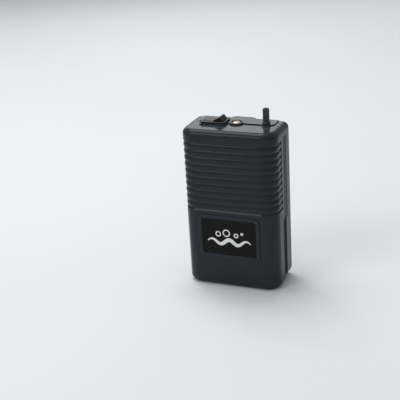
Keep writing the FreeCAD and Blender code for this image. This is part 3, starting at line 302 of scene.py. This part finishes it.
def paints():
    """One material for each slot of the record."""
    case = moulded_plastic("case_abs", (0.021, 0.026, 0.030), (0.029, 0.034, 0.039), specular=0.13)
    zinc = metal("zinc_steel", (0.52, 0.53, 0.55), (0.68, 0.69, 0.70), tarnish=(0.40, 0.38, 0.33))
    steel = metal("ground_steel", (0.60, 0.60, 0.62), (0.76, 0.76, 0.78), (0.12, 0.25), (4.0, 0.3, 0.3))
    acetal = moulded_plastic("acetal_white", (0.74, 0.73, 0.68), (0.82, 0.81, 0.77), (0.35, 0.45))
    return {
        "case_plastic": case,
        "label_gloss": gloss_label(),
        "nipple_plastic": moulded_plastic("nipple_abs", (0.022, 0.024, 0.026), (0.030, 0.032, 0.034),
                                          (0.3, 0.42)),
        "nickel_screw": metal("worn_nickel", (0.66, 0.54, 0.44), (0.82, 0.71, 0.61), (0.16, 0.30),
                              (1.0, 0.2, 1.0), (0.42, 0.22, 0.12)),
        "zinc_steel": zinc,
        "switch_plastic": moulded_plastic("switch_nylon", (0.008, 0.008, 0.009), (0.012, 0.012, 0.013),
                                          (0.22, 0.3), specular=0.2),
        "rocker_plastic": moulded_plastic("rocker_nylon", (0.012, 0.009, 0.009), (0.018, 0.013, 0.013),
                                          (0.18, 0.26), specular=0.14),
        "brass_strip": metal("brass_strip", (0.68, 0.50, 0.22), (0.80, 0.62, 0.32), (0.22, 0.36),
                             (3.0, 0.4, 0.4), (0.45, 0.28, 0.12)),
        "inner_plastic": moulded_plastic("inner_abs", (0.045, 0.045, 0.050), (0.060, 0.060, 0.066),
                                         (0.45, 0.6), 0.2),
        "cell_jacket": cell_sleeve(),
        "spring_nickel": metal("nickel_spring", (0.60, 0.59, 0.56), (0.74, 0.73, 0.70), (0.2, 0.32)),
        "motor_steel": metal("motor_steel", (0.50, 0.51, 0.53), (0.62, 0.63, 0.65), (0.28, 0.42),
                             (4.0, 0.3, 0.3), (0.42, 0.40, 0.35)),
        "bronze": metal("sintered_bronze", (0.50, 0.33, 0.17), (0.62, 0.44, 0.26), (0.35, 0.55)),
        "motor_cap_nylon": moulded_plastic("natural_nylon", (0.64, 0.61, 0.53), (0.74, 0.71, 0.63),
                                           (0.4, 0.5)),
        "ferrite": moulded_plastic("ferrite", (0.040, 0.040, 0.044), (0.065, 0.065, 0.070),
                                   (0.6, 0.8), 0.4),
        "lamination_steel": metal("laminations", (0.36, 0.36, 0.37), (0.48, 0.48, 0.49), (0.4, 0.55),
                                  (14.0, 0.2, 0.2), (0.34, 0.25, 0.18)),
        "enamelled_copper": metal("enamelled_copper", (0.46, 0.16, 0.06), (0.68, 0.30, 0.14), (0.2, 0.34),
                                  (0.3, 9.0, 0.3)),
        "shaft_steel": steel,
        "acetal": acetal,
        "rubber_black": rubber("rubber_black", (0.018, 0.018, 0.020)),
        "pump_plastic": moulded_plastic("pump_abs", (0.085, 0.092, 0.100), (0.11, 0.12, 0.13), (0.4, 0.52)),
        "felt": felt(),
        "wire_red": moulded_plastic("wire_pvc_red", (0.42, 0.018, 0.012), (0.52, 0.028, 0.018),
                                    (0.32, 0.42)),
        "wire_black": moulded_plastic("wire_pvc_black", (0.016, 0.016, 0.016), (0.022, 0.022, 0.023),
                                      (0.32, 0.42)),
    }


def paint_nodes(finishes):
    for row in frame["record"]["subparts"]:
        thing = frame["nodes"][row["node"]]
        thing.data.materials.clear()
        thing.data.materials.append(finishes[row["material_slot"]])


# ---- label mark ----

def ring(mesh, centre, outer, inner, y0, y1, steps=48):
    """Flat ring standing in the XZ plane between two y values."""
    rows = []
    for radius, y in ((outer, y0), (inner, y0), (inner, y1), (outer, y1)):
        rows.append([mesh.verts.new((centre[0] + radius * math.cos(2 * math.pi * k / steps), y,
                                     centre[1] + radius * math.sin(2 * math.pi * k / steps)))
                     for k in range(steps)])
    for first, second in zip(rows, rows[1:] + rows[:1]):
        for k in range(steps):
            after = (k + 1) % steps
            mesh.faces.new((first[k], first[after], second[after], second[k]))


def ribbon(mesh, points, y0, y1):
    """Closed strip through (x, z, half width) points, with tapering ends."""
    loops = []
    for index, (x, z, half) in enumerate(points):
        before = points[max(index - 1, 0)]
        after = points[min(index + 1, len(points) - 1)]
        along = Vector((after[0] - before[0], after[1] - before[1])).normalized()
        side = Vector((-along.y, along.x)) * half
        corners = ((x + side.x, y0, z + side.y), (x - side.x, y0, z - side.y),
                   (x - side.x, y1, z - side.y), (x + side.x, y1, z + side.y))
        loops.append([mesh.verts.new(corner) for corner in corners])
    for first, second in zip(loops, loops[1:]):
        for k in range(4):
            after = (k + 1) % 4
            mesh.faces.new((first[k], first[after], second[after], second[k]))
    mesh.faces.new(loops[0])
    mesh.faces.new(list(reversed(loops[-1])))


MARK_UNITS = 48          # units across the label
MARK_SUNK = 0.0001       # metres behind the label's face
MARK_PROUD = 0.00005     # and in front of it
WAVE_SPAN = 38
WAVE_STEPS = 96
WAVE_DROP = 4.2          # below the middle of the label
WAVE_RISE = 2.1
WAVE_COUNT = 2.5
WAVE_TIP = 0.45          # half width at the ends
WAVE_SWELL = 1.25        # and what the middle adds
BUBBLE_LINE = 1.0
BUBBLES = ((-9.5, 2.6, 2.5), (-2.2, 3.9, 3.3), (6.4, 2.4, 2.1), (11.6, 4.4, 1.3))   # x, z and radius


def make_mark(finish):
    """A plain printed emblem of four bubbles over a wave, standing just proud of the label."""
    low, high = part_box("label_plate")
    face = low[1]
    centre_x = (low[0] + high[0]) / 2
    centre_z = (low[2] + high[2]) / 2
    unit = (high[0] - low[0]) / MARK_UNITS
    y0, y1 = face - MARK_PROUD, face + MARK_SUNK
    mesh = bmesh.new()
    wave = []
    for index in range(WAVE_STEPS + 1):
        part = index / WAVE_STEPS
        half = (WAVE_TIP + WAVE_SWELL * math.sin(math.pi * part)) * unit
        height = WAVE_RISE * unit * math.sin(2 * math.pi * WAVE_COUNT * part)
        across = WAVE_SPAN * unit * (part - 0.5)
        wave.append((centre_x + across, centre_z - WAVE_DROP * unit + height, half))
    ribbon(mesh, wave, y0, y1)
    for x, z, radius in BUBBLES:
        centre = (centre_x + x * unit, centre_z + z * unit)
        ring(mesh, centre, radius * unit, (radius - BUBBLE_LINE) * unit, y0, y1)
    bmesh.ops.recalc_face_normals(mesh, faces=mesh.faces)
    data = bpy.data.meshes.new("label_mark")
    mesh.to_mesh(data)
    mesh.free()
    mark = bpy.data.objects.new("label_mark", data)
    bpy.context.collection.objects.link(mark)
    data.materials.append(finish)
    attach(mark, "case")


make_camera()
make_lights()
make_floor()
paint_nodes(paints())
make_mark(printed_white())
